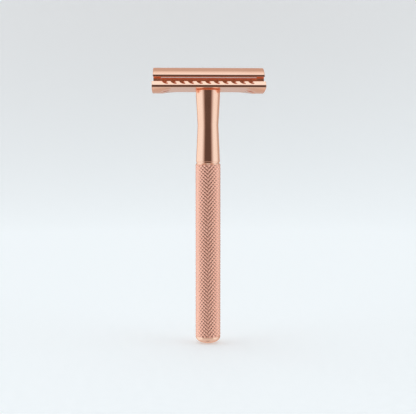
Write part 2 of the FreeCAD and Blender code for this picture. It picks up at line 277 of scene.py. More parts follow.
def lathe(outline, steps=TURNING_STEPS, closed=True):
    """Mesh of an (r, z) outline turned about the handle's axis. A closed outline gives a closed mesh."""
    bm = bmesh.new()
    turns = [2 * math.pi * i / steps for i in range(steps)]
    rings = []
    for r, z in outline:
        if r < TINY:
            rings.append([bm.verts.new((0, 0, z))] * steps)
        else:
            rings.append([bm.verts.new((r * math.cos(a), r * math.sin(a), z)) for a in turns])
    skin(bm, rings, around=closed)
    return bm


def skin(bm, rings, around):
    """Faces between neighbouring rings, and from the last ring back to the first if around is true."""
    pairs = list(zip(rings, rings[1:]))
    if around:
        pairs.append((rings[-1], rings[0]))
    for low, high in pairs:
        for i in range(len(low)):
            j = (i + 1) % len(low)
            corners = []
            for vert in (low[i], low[j], high[j], high[i]):
                if vert not in corners:
                    corners.append(vert)
            if len(corners) > 2:
                bm.faces.new(corners)
    bmesh.ops.recalc_face_normals(bm, faces=bm.faces)


def swept(sections):
    """Closed mesh through a list of (x, section) pairs, where a section is a loop of (y, z) points."""
    bm = bmesh.new()
    rings = [[bm.verts.new((x, y, z)) for y, z in section] for x, section in sections]
    skin(bm, rings, around=False)
    bm.faces.new(rings[0])
    bm.faces.new(rings[-1])
    bmesh.ops.recalc_face_normals(bm, faces=bm.faces)
    return bm


def inset(section, depth):
    """The closed section with each point moved in by the depth, measured square to its sides."""
    count = len(section)
    pairs = list(zip(section[-1:] + section[:-1], section))
    side = math.copysign(1, sum(a[0] * b[1] - b[0] * a[1] for a, b in pairs))
    shifted = []
    for i in range(count):
        here = Vector(section[i])
        back = (here - Vector(section[i - 1])).normalized()
        ahead = (Vector(section[(i + 1) % count]) - here).normalized()
        along = (back + ahead).normalized()
        stretch = max(INSET_LIMIT, along.dot(ahead))
        shifted.append(tuple(here + Vector((-along.y, along.x)) * (side * depth / stretch)))
    return shifted


def bar(section, half_length, end_round, shrink=inset):
    """Closed bar along X with a (y, z) section, which shrinks towards the ends to round them."""
    end = []
    for i in range(BAR_END_STEPS + 1):
        turn = math.pi / 2 * i / BAR_END_STEPS
        x = half_length - end_round * (1 - math.cos(turn))
        end.append((x, shrink(section, end_round * (1 - math.sin(turn)))))
    return swept([(-x, ring) for x, ring in end] + end[::-1])


def prism(outline, low, high, place):
    """Closed prism of an outline between two depths, with its points put in place by a function."""
    bm = bmesh.new()
    rings = [[bm.verts.new(place(a, b, depth)) for a, b in outline] for depth in (low, high)]
    skin(bm, rings, around=False)
    bm.faces.new(rings[0])
    bm.faces.new(rings[1])
    bmesh.ops.recalc_face_normals(bm, faces=bm.faces)
    return bm


def across_y(outline):
    """Prism with an (x, z) outline, wider than the base plate."""
    reach = BASE_HIGH.y + TOOL_REACH
    return prism(outline, -reach, reach, lambda x, z, y: (x, y, z))


def along_z(outline, low, high):
    """Prism with an (x, y) outline."""
    return prism(outline, low, high, lambda x, y, z: (x, y, z))


def rectangle(a0, a1, b0, b1, corner=0.0):
    """Outline of a rectangle, with its corners rounded if a radius is given."""
    corners = [(a0, b0), (a1, b0), (a1, b1), (a0, b1)]
    if not corner:
        return corners
    return rounded([(a, b, corner) for a, b in corners])


def moved(bm, x=0.0, y=0.0, z=0.0):
    """The same bmesh, shifted."""
    bmesh.ops.translate(bm, verts=bm.verts, vec=(x, y, z))
    return bm


def both_sides(make, *values):
    """The shape and its copy turned half a turn about the handle's axis, as one bmesh."""
    other = make(*values)
    other.transform(Matrix.Rotation(math.pi, 4, "Z"))
    return merged([make(*values), other])


def boolean(bm, tool, operation):
    """The bmesh after cutting or joining the tool. Both inputs are used up."""
    pair = []
    for part in (bm, tool):
        mesh = bpy.data.meshes.new("working")
        part.to_mesh(mesh)
        part.free()
        pair.append(bpy.data.objects.new("working", mesh))
        bpy.context.scene.collection.objects.link(pair[-1])
    modifier = pair[0].modifiers.new("boolean", "BOOLEAN")
    modifier.operation = operation
    modifier.solver = "EXACT"
    modifier.object = pair[1]
    result = bmesh.new()
    result.from_object(pair[0], bpy.context.evaluated_depsgraph_get())
    for obj in pair:
        bpy.data.meshes.remove(obj.data)
    return result


def merged(meshes):
    """One bmesh that holds several separate closed shapes."""
    whole = bmesh.new()
    for part in meshes:
        mesh = bpy.data.meshes.new("working")
        part.to_mesh(mesh)
        part.free()
        whole.from_mesh(mesh)
        bpy.data.meshes.remove(mesh)
    return whole


def add_piece(bm, node, material, sharp_angle=28):
    """Turns the bmesh into the piece that stands for a CAD node.

    An edge between two faces that meet at more than the sharp angle, in degrees, is shaded crisp.
    """
    bm.transform(Matrix.Scale(MM, 4))
    bmesh.ops.remove_doubles(bm, verts=bm.verts, dist=WELD)
    limit = math.radians(sharp_angle)
    for face in bm.faces:
        face.smooth = True
    for edge in bm.edges:
        edge.smooth = len(edge.link_faces) == 2 and edge.calc_face_angle(math.pi) < limit
    mesh = bpy.data.meshes.new(node + "_mesh")
    bm.to_mesh(mesh)
    bm.free()
    mesh.materials.append(material)
    piece = bpy.data.objects.new(node + "_detailed", mesh)
    bpy.context.scene.collection.objects.link(piece)
    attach(piece, frame["nodes"][node]["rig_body"])
    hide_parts(node)
    normals = piece.modifiers.new("weighted", "WEIGHTED_NORMAL")
    normals.keep_sharp = True


# ---- Handle pieces ----
def neck():
    """Two cones that meet in a crisp waist, with a spigot below and the bush's seat above."""
    low, high = NECK_LOW.z, NECK_HIGH.z
    bush = BUSH_HIGH.x + PRESS_GAP
    floor = BUSH_LOW.z - PRESS_GAP
    return lathe(
        rounded(
            [
                (0, low),
                (SPIGOT_RADIUS, low, INNER_ROUND),
                (SPIGOT_RADIUS, NECK_BOTTOM),
                (NECK_BOTTOM_RADIUS, NECK_BOTTOM, NECK_EDGE),
                (NECK_WAIST_RADIUS, NECK_WAIST, WAIST_ROUND),
                (NECK_HIGH.x, high, NECK_EDGE),
                (bush, high, BORE_EDGE),
                (bush, floor),
                (RELIEF_RADIUS, floor),
                (RELIEF_RADIUS, floor - RELIEF_DEPTH),
                (0, floor - RELIEF_DEPTH),
            ]
        )
    )


def spacer_ring():
    """Ring that flares in a shallow cove from the neck to the grip."""
    low, high = RING_LOW.z, RING_HIGH.z
    return lathe(
        rounded(
            [
                (GRIP_BORE, low),
                (RING_HIGH.x, low, RING_EDGE),
                (RING_HIGH.x, low + RING_BAND, RING_EDGE),
                (RING_HIGH_RADIUS, low + COVE_RISE, COVE_ROUND),
                (RING_HIGH_RADIUS, high, RING_EDGE),
                (GRIP_BORE, high),
            ]
        )
    )


def end_cap():
    """Domed foot: part of a full ellipse, flat at the bottom, with its spigot."""
    radius = FOOT_HIGH.x
    power = 2 / DOME_FULLNESS
    start = math.asin((FOOT_RADIUS / radius) ** (1 / power))
    depth = DOME_HEIGHT / math.cos(start) ** power
    dome = []
    for i in range(DOME_STEPS + 1):
        angle = start + (math.pi / 2 - start) * i / DOME_STEPS
        rise = DOME_HEIGHT - depth * max(0.0, math.cos(angle)) ** power
        dome.append((radius * math.sin(angle) ** power, rise))
    top = FOOT_HIGH.z
    spigot = [(SPIGOT_RADIUS, DOME_HEIGHT), (SPIGOT_RADIUS, top, INNER_ROUND), (0, top)]
    return lathe([(0, FOOT_LOW.z)] + dome + rounded(spigot, closed=False))


def core_rod():
    """Plain rod with rounded ends."""
    radius, low, high = ROD_HIGH.x, ROD_LOW.z, ROD_HIGH.z
    return lathe(rounded([(0, low), (radius, low, INNER_ROUND), (radius, high, INNER_ROUND), (0, high)]))


def knurl_vertex(bm, seen, iu, iv):
    """The knurled surface's vertex at lattice place (iu, iv), wrapped round the handle."""
    turns = iu // (RIGHT_STARTS * KNURL_STEPS)
    key = (iu - turns * RIGHT_STARTS * KNURL_STEPS, iv - turns * LEFT_STARTS * KNURL_STEPS)
    if key not in seen:
        cell_u, part_u = divmod(key[0], KNURL_STEPS)
        cell_v, part_v = divmod(key[1], KNURL_STEPS)
        u = cell_u + KNURL_FRACTIONS[part_u]
        v = cell_v + KNURL_FRACTIONS[part_v]
        z = (v / LEFT_STARTS - u / RIGHT_STARTS) / KNURL_PER_MM
        angle = 2 * math.pi * (u + z / RIGHT_PITCH) / RIGHT_STARTS
        height = min(KNURL_HEIGHTS[part_u], KNURL_HEIGHTS[part_v])
        radius = GRIP_RADIUS - GROOVE_DEPTH * (1 - height)
        seen[key] = bm.verts.new((radius * math.cos(angle), radius * math.sin(angle), z + SLEEVE_LOW.z))
    return seen[key]


def knurled_skin():
    """Diamond knurling: two families of helical grooves, longer than the grip at both ends."""
    bm = bmesh.new()
    seen = {}
    crest = KNURL_STEPS / 2
    length = SLEEVE_HIGH.z - SLEEVE_LOW.z
    for iu in range(RIGHT_STARTS * KNURL_STEPS):
        middle = iu / KNURL_STEPS / RIGHT_STARTS
        low = middle - KNURL_MARGIN * KNURL_PER_MM
        high = middle + (length + KNURL_MARGIN) * KNURL_PER_MM
        first = math.floor(low * LEFT_STARTS) * KNURL_STEPS
        last = math.ceil(high * LEFT_STARTS) * KNURL_STEPS
        for iv in range(first, last):
            corners = [
                knurl_vertex(bm, seen, iu, iv),
                knurl_vertex(bm, seen, iu + 1, iv),
                knurl_vertex(bm, seen, iu + 1, iv + 1),
                knurl_vertex(bm, seen, iu, iv + 1),
            ]
            rising = (iu % KNURL_STEPS < crest) == (iv % KNURL_STEPS < crest)
            if rising:
                bm.faces.new([corners[0], corners[1], corners[2]])
                bm.faces.new([corners[0], corners[2], corners[3]])
            else:
                bm.faces.new([corners[0], corners[1], corners[3]])
                bm.faces.new([corners[1], corners[2], corners[3]])
    return bm


def trim(bm, z, keep_above):
    """Cuts the mesh at a level and drops one side of the cut."""
    bmesh.ops.bisect_plane(
        bm,
        geom=bm.verts[:] + bm.edges[:] + bm.faces[:],
        dist=TINY,
        plane_co=(0, 0, z),
        plane_no=(0, 0, 1),
        clear_inner=keep_above,
        clear_outer=not keep_above,
    )


def extend_rim(bm, edges, radius, z):
    """Adds a band of faces from an open rim to a circle of the given radius and height."""
    made = bmesh.ops.extrude_edge_only(bm, edges=edges)["geom"]
    for vert in [item for item in made if isinstance(item, bmesh.types.BMVert)]:
        scale = radius / math.hypot(vert.co.x, vert.co.y)
        vert.co = (vert.co.x * scale, vert.co.y * scale, z)
    return [item for item in made if isinstance(item, bmesh.types.BMEdge) and item.is_boundary]


def grip_sleeve():
    """Knurled tube with chamfered ends and a plain bore."""
    bm = knurled_skin()
    rims = []
    for z, inward in ((SLEEVE_LOW.z, 1), (SLEEVE_HIGH.z, -1)):
        level = z + inward * GRIP_CHAMFER
        trim(bm, level, keep_above=inward > 0)
        edges = [e for e in bm.edges if e.is_boundary and abs(e.verts[0].co.z - level) < NEAR]
        edges = extend_rim(bm, edges, RIM_RADIUS, z)
        rims.append(extend_rim(bm, edges, GRIP_BORE, z))
    bmesh.ops.bridge_loops(bm, edges=rims[0] + rims[1])
    bmesh.ops.recalc_face_normals(bm, faces=bm.faces)
    return bm


# ---- Screw ----
def thread_radius(crest, z, angle):
    """Radius of a rounded vee thread at a height and an angle. The thread is right-handed."""
    phase = (z / THREAD_PITCH - angle / (2 * math.pi)) % 1
    vee = abs(2 * phase - 1)
    shaped = min(1.0, max(0.0, (vee - THREAD_CREST) / THREAD_FLANK))
    return crest - THREAD_DEPTH * shaped


def thread_rings(bm, crest, low, high, run_out):
    """Rings of vertices up a thread that fades to its crest radius over run_out at the top."""
    rows = round((high - low) / THREAD_PITCH * THREAD_ROWS_PER_PITCH)
    rings = []
    for row in range(rows + 1):
        z = low + (high - low) * row / rows
        ring = []
        for i in range(THREAD_STEPS):
            angle = 2 * math.pi * i / THREAD_STEPS
            radius = thread_radius(crest, z, angle)
            if run_out:
                fade = min(1.0, (high - z) / run_out)
                radius = crest - (crest - radius) * fade
            ring.append(bm.verts.new((radius * math.cos(angle), radius * math.sin(angle), z)))
        rings.append(ring)
    return rings


def circle(bm, radius, z):
    """Ring of vertices that matches the threads' rings."""
    turns = [2 * math.pi * i / THREAD_STEPS for i in range(THREAD_STEPS)]
    return [bm.verts.new((radius * math.cos(a), radius * math.sin(a), z)) for a in turns]


def threaded_stud():
    """Stud with a chamfered tip, a screw thread and a plain shank in the cap."""
    bm = bmesh.new()
    radius = STUD_HIGH.x
    tip, top = STUD_LOW.z, STUD_HIGH.z
    shank = SEAT + STUD_SHANK_RISE
    rings = [
        [bm.verts.new((0, 0, tip))] * THREAD_STEPS,
        circle(bm, radius - STUD_TIP_INSET, tip),
        circle(bm, radius - THREAD_DEPTH - THREAD_CLEARANCE, tip + STUD_TIP_RISE),
    ]
    rings += thread_rings(bm, radius, tip + STUD_THREAD_RISE, shank, THREAD_PITCH)
    rings += [
        circle(bm, radius, top - STUD_TOP_CHAMFER),
        circle(bm, radius - STUD_TOP_CHAMFER, top),
        [bm.verts.new((0, 0, top))] * THREAD_STEPS,
    ]
    skin(bm, rings, around=False)
    return bm


def thread_bush():
    """Bush whose bore follows the stud's thread with a little clearance."""
    bm = bmesh.new()
    low, high = BUSH_LOW.z, BUSH_HIGH.z
    bore = STUD_HIGH.x + THREAD_CLEARANCE
    outer = BUSH_HIGH.x
    rings = [circle(bm, bore, low)]
    rings += thread_rings(bm, bore, low + BUSH_LEAD, high - BUSH_LEAD, 0)
    rings += [
        circle(bm, bore, high),
        circle(bm, outer - BUSH_CHAMFER, high),
        circle(bm, outer, high - BUSH_CHAMFER),
        circle(bm, outer, low + BUSH_CHAMFER),
        circle(bm, outer - BUSH_CHAMFER, low),
    ]
    skin(bm, rings, around=True)
    return bm


def guide_pin(side):
    """Pin with a rounded tip."""
    tip, top = PIN_LOW.z, PIN_HIGH.z
    corners = [(0, tip), (PIN_RADIUS, tip, PIN_TIP_ROUND), (PIN_RADIUS, top, PIN_TOP_ROUND), (0, top)]
    return moved(lathe(rounded(corners), PIN_STEPS), x=side * (PIN_HIGH.x - PIN_RADIUS))


# ---- Cap ----
def arc_height(radius, y):
    """Height of an arc about the blade's bend centre."""
    return BEND_CENTRE + math.sqrt(radius**2 - y**2)


def bend_arc(radius, y_from, y_to, steps=CURVE_STEPS):
    """Points on an arc about the blade's bend centre."""
    start, end = (90 - math.degrees(math.asin(y / radius)) for y in (y_from, y_to))
    return outline_arc((0, BEND_CENTRE), radius, start, end, steps)


def cap_section():
    """(y, z) outline of the cap: outer curve, upright lips and inner curve."""
    reach = CAP_RADIUS - CAP_LIP_ROUND
    lip_y = CAP_HIGH.y - CAP_LIP_ROUND
    spread = math.degrees(math.asin(lip_y / reach))
    lip = (lip_y, CAP_CENTRE + math.sqrt(reach**2 - lip_y**2))
    inner_y = CAP_HIGH.y - CAP_LIP_LOW_ROUND
    foot = (inner_y, arc_height(CAP_INNER_RADIUS, inner_y) + CAP_LIP_LOW_ROUND)
    right = outline_arc(lip, CAP_LIP_ROUND, 90 - spread, 0, CORNER_STEPS)[1:]
    right += outline_arc(foot, CAP_LIP_LOW_ROUND, 0, -90, CAP_LIP_LOW_STEPS)
    left = [(-y, z) for y, z in reversed(right)]
    outer = outline_arc((0, CAP_CENTRE), CAP_RADIUS, 90 + spread, 90 - spread, CURVE_STEPS)
    inner = bend_arc(CAP_INNER_RADIUS, inner_y, -inner_y)
    return outer + right + inner[1:-1] + left


def inside_drum(section, depth):
    """The section with its outermost points drawn in towards the centre of the cap's curve."""
    limit = CAP_RADIUS - depth
    drawn = []
    for y, z in section:
        scale = min(1.0, limit / math.hypot(y, z - CAP_CENTRE))
        drawn.append((y * scale, CAP_CENTRE + (z - CAP_CENTRE) * scale))
    return drawn


def pocket(x_side, y_side):
    """Tool for one shallow hollow in the cap's underside."""
    near, far = POCKET_Y
    roof = bend_arc(CAP_INNER_RADIUS + POCKET_DEPTH, near, far, POCKET_STEPS)
    floor = bend_arc(CAP_INNER_RADIUS - POCKET_DEPTH, far, near, POCKET_STEPS)
    section = [(y_side * y, z) for y, z in roof + floor]
    half_length = (POCKET_X[1] - POCKET_X[0]) / 2
    return moved(bar(section, half_length, POCKET_ROUND), x=x_side * (POCKET_X[0] + half_length))


def top_cap():
    """Curved cap with lips, four hollows, a boss and the sockets for the stud and pins."""
    bm = bar(cap_section(), CAP_HIGH.x, CAP_END_ROUND, shrink=inside_drum)
    for x_side in (-1, 1):
        for y_side in (-1, 1):
            bm = boolean(bm, pocket(x_side, y_side), "DIFFERENCE")
    top = STUD_HIGH.z
    boss = rounded([(0, BOSS_LOW), (BOSS_RADIUS, BOSS_LOW, BOSS_EDGE), (BOSS_RADIUS, top), (0, top)])
    bm = boolean(bm, lathe(boss, HOLE_STEPS), "UNION")
    for x, radius in ((0, STUD_HIGH.x), (-PIN_X, PIN_RADIUS), (PIN_X, PIN_RADIUS)):
        socket = lathe(rectangle(0, radius + PRESS_GAP, SEAT, top + PRESS_GAP), HOLE_STEPS)
        bm = boolean(bm, moved(socket, x=x), "DIFFERENCE")
    return bm


# ---- Base plate ----
def base_section():
    """(y, z) outline of the base plate: belly, noses, ridges, shelves and the curved land."""
    nose = BASE_HIGH.y
    half = rounded(
        [
            (0, SEAT + BELLY_RISE),
            (BELLY_EDGE_Y, SEAT, NOSE_ROUND),
            (nose, SEAT + NOSE_LOW_RISE, NOSE_ROUND),
            (nose, SEAT + NOSE_HIGH_RISE, RIDGE_ROUND),
            (RIDGE_Y, SEAT + RIDGE_RISE, RIDGE_ROUND),
            (SHELF_Y, SEAT + RIDGE_RISE - SHELF_DROP, SHELF_ROUND),
            (LAND_EDGE_Y, arc_height(LAND_RADIUS, LAND_EDGE_Y), NOSE_ROUND),
            (0, BEND_CENTRE + LAND_RADIUS),
        ],
        closed=False,
    )[1:-1]
    land_edge = half[-1][0]
    land = bend_arc(LAND_RADIUS, land_edge, -land_edge)
    sag = -BELLY_RISE
    radius = (BELLY_EDGE_Y**2 + sag**2) / (2 * sag)
    spread = math.degrees(math.asin(half[0][0] / radius))
    belly = outline_arc((0, SEAT + BELLY_RISE + radius), radius, 270 - spread, 270 + spread, CURVE_STEPS)
    left = [(-y, z) for y, z in reversed(half)]
    return belly[1:-1] + half + land[1:-1] + left


def underside_arch():
    """Tool that hollows the underside between the two end pads."""
    low = SEAT + BELLY_RISE
    high = SEAT + ARCH_RISE
    span = ARCH_END_X - ARCH_FLAT_X
    rise = high - low
    radius = (span**2 + rise**2) / (2 * rise)
    drop = math.degrees(math.asin(span / radius))
    right = outline_arc((ARCH_FLAT_X, high - radius), radius, 90, 90 - drop, ARCH_STEPS)
    floor = [(ARCH_END_X, low - TOOL_REACH), (-ARCH_END_X, low - TOOL_REACH)]
    left = [(-x, z) for x, z in reversed(right)]
    return across_y(right + floor + left)


def land_end(side):
    """Tool that shortens the land, so that the guard bars reach past it."""
    inner, outer = sorted((side * LAND_END_X, side * (BASE_HIGH.x + TOOL_REACH)))
    return across_y(rectangle(inner, outer, SEAT + RIDGE_RISE, CAP_HIGH.z))


def channel():
    """Tool for the lather channel between the land and one guard bar."""
    floor = SEAT + CHANNEL_RISE
    section = rounded(
        [
            (CHANNEL_TOP_Y, CAP_HIGH.z),
            (CHANNEL_INNER_Y, floor, CHANNEL_ROUND),
            (CHANNEL_OUTER_Y, floor, CHANNEL_ROUND),
            (CHANNEL_BRINK_Y, SEAT + RIDGE_RISE - SHELF_DROP),
            (CHANNEL_BRINK_Y, CAP_HIGH.z),
        ]
    )
    return bar(section, CHANNEL_END_X, CHANNEL_END_ROUND)


def flute(x):
    """Tool for a round groove that runs diagonally across a guard bar."""
    ring = round_outline((0, 0), FLUTE_RADIUS, FLUTE_STEPS)
    half = FLUTE_LENGTH / 2
    bm = prism(ring, -half, half, lambda a, b, depth: (depth, a, b))
    bm.transform(Matrix.Rotation(-math.pi / 4, 4, "Z"))
    return moved(bm, x=x, y=-FLUTE_MID_Y, z=SEAT + RIDGE_RISE - FLUTE_BELOW_RIDGE)


def pin_hole(side):
    """Tool for a stretched hole."""
    bm = lathe(rectangle(0, PIN_HOLE_RADIUS, SEAT + BELLY_RISE - TOOL_REACH, CAP_HIGH.z), HOLE_STEPS)
    for vert in bm.verts:
        if abs(vert.co.x) > NEAR:
            vert.co.x += math.copysign(PIN_HOLE_STRETCH / 2, vert.co.x)
    return moved(bm, x=side * (PIN_X + PIN_HOLE_STRETCH / 2))


def seat_boss():
    """Flat disc that fills the arch where the base plate rests on the neck."""
    top = SEAT + SEAT_BOSS_HEIGHT
    corners = [(0, SEAT), (SEAT_BOSS_RADIUS, SEAT, SEAT_BOSS_EDGE), (SEAT_BOSS_RADIUS, top), (0, top)]
    return lathe(rounded(corners), HOLE_STEPS)


def centre_hole():
    """Tool for the stud's hole, chamfered below, with a recess above for the cap's boss."""
    recess = BOSS_LOW - BOSS_CLEARANCE
    wide = BOSS_RADIUS + BOSS_CLEARANCE
    outline = [
        (0, SEAT - TOOL_REACH),
        (STUD_HOLE_RADIUS + STUD_HOLE_CHAMFER + TOOL_REACH, SEAT - TOOL_REACH),
        (STUD_HOLE_RADIUS, SEAT + STUD_HOLE_CHAMFER),
        (STUD_HOLE_RADIUS, recess),
        (wide, recess),
        (wide, CAP_HIGH.z),
        (0, CAP_HIGH.z),
    ]
    return lathe(outline, HOLE_STEPS)


def base_plate():
    """Base plate with its arch, channels, fluted guard bars and holes."""
    bm = bar(base_section(), BASE_HIGH.x, BASE_END_ROUND)
    bm = boolean(bm, underside_arch(), "DIFFERENCE")
    bm = boolean(bm, merged([land_end(-1), land_end(1)]), "DIFFERENCE")
    bm = boolean(bm, both_sides(channel), "DIFFERENCE")
    first = -(FLUTE_COUNT - 1) / 2
    flutes = [both_sides(flute, (first + i) * FLUTE_PITCH) for i in range(FLUTE_COUNT)]
    bm = boolean(bm, merged(flutes), "DIFFERENCE")
    bm = boolean(bm, seat_boss(), "UNION")
    bm = boolean(bm, centre_hole(), "DIFFERENCE")
    return boolean(bm, merged([pin_hole(-1), pin_hole(1)]), "DIFFERENCE")


# ---- Blade ----
def flat_blade():
    """The blade before it is bent, lying at z = 0, with its slot, holes and cut corners."""
    right = [
        (BLADE_HIGH.x, BLADE_TAB, BLADE_TAB_ROUND),
        (BLADE_EDGE, BLADE_TAB, BLADE_NOTCH_ROUND),
        (BLADE_EDGE, BLADE_HALF_WIDTH),
    ]
    upper = right + [(-corner[0], *corner[1:]) for corner in reversed(right)]
    lower = [(-corner[0], -corner[1], *corner[2:]) for corner in upper]
    bm = along_z(rounded(upper + lower), 0, BLADE_THICKNESS)
    openings = [rectangle(-PIN_X, PIN_X, -BLADE_SLOT_HALF_WIDTH, BLADE_SLOT_HALF_WIDTH)]
    openings += [round_outline((x, 0), radius, HOLE_STEPS) for x, radius in BLADE_HOLES]
    for x in (-WINDOW_X, WINDOW_X):
        low, high = x - WINDOW_HALF_LENGTH, x + WINDOW_HALF_LENGTH
        openings.append(rectangle(low, high, -WINDOW_HALF_WIDTH, WINDOW_HALF_WIDTH, WINDOW_ROUND))
    for opening in openings:
        bm = boolean(bm, along_z(opening, -TOOL_REACH, TOOL_REACH), "DIFFERENCE")
    return bm


def razor_blade():
    """The flat blade with its cutting edges honed, bent over the land."""
    bm = flat_blade()
    rows = [BLADE_HALF_WIDTH * (2 * i / BEND_STEPS - 1) for i in range(1, BEND_STEPS)]
    honed = BLADE_HALF_WIDTH - HONED_WIDTH
    for y in rows + [-honed, honed]:
        geometry = bm.verts[:] + bm.edges[:] + bm.faces[:]
        bmesh.ops.bisect_plane(bm, geom=geometry, dist=TINY, plane_co=(0, y, 0), plane_no=(0, 1, 0))
    middle = BLADE_THICKNESS / 2
    for vert in bm.verts:
        past = max(0.0, abs(vert.co.y) - honed) / HONED_WIDTH
        keep = 1 - past * (1 - HONED_THICKNESS / BLADE_THICKNESS)
        radius = BEND_RADIUS + middle + (vert.co.z - middle) * keep
        angle = vert.co.y / BEND_RADIUS
        vert.co.y = radius * math.sin(angle)
        vert.co.z = BEND_CENTRE + radius * math.cos(angle)
    return bm


# ---- Materials ----
class Nodes:
    """Short helpers for building a node tree."""

    def __init__(self, tree):
        self.tree = tree
        tree.nodes.clear()

    def add(self, kind, inputs=None, **settings):
        """New node. inputs holds a value or another node's output for each named input."""
        node = self.tree.nodes.new(kind)
        for key, value in settings.items():
            setattr(node, key, value)
        for key, value in (inputs or {}).items():
            self.set(node.inputs[key], value)
        return node

    def set(self, socket, value):
        """Gives an input its value, or links it to another node's output."""
        if isinstance(value, bpy.types.NodeSocket):
            self.tree.links.new(value, socket)
        else:
            socket.default_value = value

    def math(self, operation, *values):
        """Result of a sum on values or outputs."""
        node = self.add("ShaderNodeMath", operation=operation)
        for socket, value in zip(node.inputs, values):
            self.set(socket, value)
        return node.outputs[0]

    def ramp(self, value, low, high, out_low=0.0, out_high=1.0, smooth=False):
        """The value carried from the low-high range to the output range, and held at its ends."""
        node = self.add(
            "ShaderNodeMapRange",
            {"Value": value, "From Min": low, "From Max": high, "To Min": out_low, "To Max": out_high},
            interpolation_type="SMOOTHSTEP" if smooth else "LINEAR",
        )
        return node.outputs["Result"]

    def mix(self, share, a, b):
        """Colour a, turning into b as the share goes from 0 to 1."""
        node = self.add("ShaderNodeMix", data_type="RGBA")
        self.set(node.inputs["Factor"], share)
        self.set(node.inputs["A"], a)
        self.set(node.inputs["B"], b)
        return node.outputs["Result"]

    def noise(self, scale, stretch=(1, 1, 1), detail=3.0):
        """Noise fixed to the object. A larger stretch makes it finer along that axis."""
        place = self.add("ShaderNodeTexCoord").outputs["Object"]
        mapping = self.add("ShaderNodeMapping", {"Vector": place, "Scale": stretch})
        node = self.add(
            "ShaderNodeTexNoise",
            {"Vector": mapping.outputs["Vector"], "Scale": scale, "Detail": detail},
        )
        return node.outputs["Fac"]


ROSE = (0.92, 0.58, 0.44, 1)
ROSE_DEEP = (0.86, 0.47, 0.33, 1)
# Painted shade and reflected light: the deep orange put into the plate's gaps and grooves.
ROSE_PAINTED_GAP_REFLECTION = (0.83, 0.26, 0.10, 1)
# Painted bounce light: the knurl's plate is the same rose gold, coloured deeper and more saturated for light
# bounced in its grooves.
KNURL_ROSE_PAINTED_BOUNCE = (0.9, 0.49, 0.38, 1)
KNURL_DEEP_PAINTED_BOUNCE = (0.82, 0.41, 0.3, 1)
EDGE_TINT = (0.98, 0.72, 0.60, 1)
STEEL = (0.62, 0.61, 0.60, 1)
STEEL_DEEP = (0.5, 0.49, 0.48, 1)
# Painted reflection and shade: the copper red put on the blade where the rose gold parts close round it.
STEEL_PAINTED_GAP_REFLECTION = (0.86, 0.17, 0.06, 1)
BRASS = (0.83, 0.63, 0.3, 1)
BRASS_DEEP = (0.66, 0.45, 0.18, 1)
IRON = (0.5, 0.5, 0.51, 1)
IRON_DEEP = (0.4, 0.4, 0.41, 1)

# Noise scales are per metre. A range is the part of a noise or a measure that runs from nothing to full.
CLOUD_SCALE = 90.0
CLOUD_RANGE = (0.35, 0.7)
CLOUD_SHARE = 0.25
GRAIN_SCALE = 1000.0
GRAIN_RANGE = (0.3, 0.7)
GRAIN_STRENGTH = 0.25
SMUDGE_SCALE = 220.0
SMUDGE_RANGE = (0.45, 0.75)
SMUDGE_SHARE = 0.35
SMOOTHEST = 0.8
ROUGHEST = 1.25
WORN_RANGE = (0.52, 0.62)
WORN_POLISH = 0.8
SKY_RANGE = (0.4, 0.85)
SKY_SAMPLES = 8
HOLLOW_ROUGHNESS = 0.3
HOLLOW_METALLIC = 0.35


def metal(name, colour, deep, roughness, grain, grain_depth, painted_gap_colour=None, painted_gap_size=1.0, painted_bounce=0.0):
    """Metal with drifting colour, uneven polish and fine grain, which can get painted shade and painted
    reflected light in its hollows, where it also turns rougher and less metallic.

    grain is the noise's stretch per axis. The gap colour is the painted shade and reflected light put into
    corners and gaps of the given gap size.
    The bounce share paints a glow of the gap colour there, standing in for the light that the walls of a gap
    throw at each other.
    """
    material = bpy.data.materials.new(name)
    material.use_nodes = True
    n = Nodes(material.node_tree)
    cloud = n.ramp(n.noise(CLOUD_SCALE), *CLOUD_RANGE)
    lines = n.noise(GRAIN_SCALE, grain, detail=2.0)
    smudge = n.ramp(n.noise(SMUDGE_SCALE, detail=6.0), *SMUDGE_RANGE)
    tone = n.mix(n.math("MULTIPLY", cloud, CLOUD_SHARE), colour, deep)
    wear = n.ramp(n.add("ShaderNodeNewGeometry").outputs["Pointiness"], *WORN_RANGE)
    polish = n.ramp(lines, *GRAIN_RANGE, roughness * SMOOTHEST, roughness * ROUGHEST)
    polish = n.math("ADD", polish, n.math("MULTIPLY", smudge, roughness * SMUDGE_SHARE))
    polish = n.math("MULTIPLY", polish, n.ramp(wear, 0.0, 1.0, 1.0, WORN_POLISH))
    metallic = 1.0
    painted_bounce_glow = 0.0
    # Painted shade and reflected light: where ambient occlusion finds a gap, the colour turns to the gap
    # colour and a painted glow stands in for bounced light.
    if painted_gap_colour:
        reach = {"Distance": painted_gap_size * MM}
        sky = n.add("ShaderNodeAmbientOcclusion", reach, samples=SKY_SAMPLES).outputs["AO"]
        painted_gap_mask = n.ramp(sky, *SKY_RANGE, 1.0, 0.0, smooth=True)
        tone = n.mix(painted_gap_mask, tone, painted_gap_colour)
        polish = n.math("ADD", polish, n.math("MULTIPLY", painted_gap_mask, HOLLOW_ROUGHNESS))
        metallic = n.ramp(painted_gap_mask, 0.0, 1.0, 1.0, HOLLOW_METALLIC)
        painted_bounce_glow = n.math("MULTIPLY", painted_gap_mask, painted_bounce)
    relief = {"Strength": GRAIN_STRENGTH, "Distance": grain_depth * MM, "Height": lines}
    bump = n.add("ShaderNodeBump", relief)
    shader = n.add(
        "ShaderNodeBsdfPrincipled",
        {
            "Base Color": tone,
            "Metallic": metallic,
            "Roughness": polish,
            "Specular Tint": EDGE_TINT,
            "Emission Color": painted_gap_colour or colour,
            "Emission Strength": painted_bounce_glow,
            "Normal": bump.outputs["Normal"],
        },
    )
    n.add("ShaderNodeOutputMaterial", {"Surface": shader.outputs["BSDF"]})
    return material


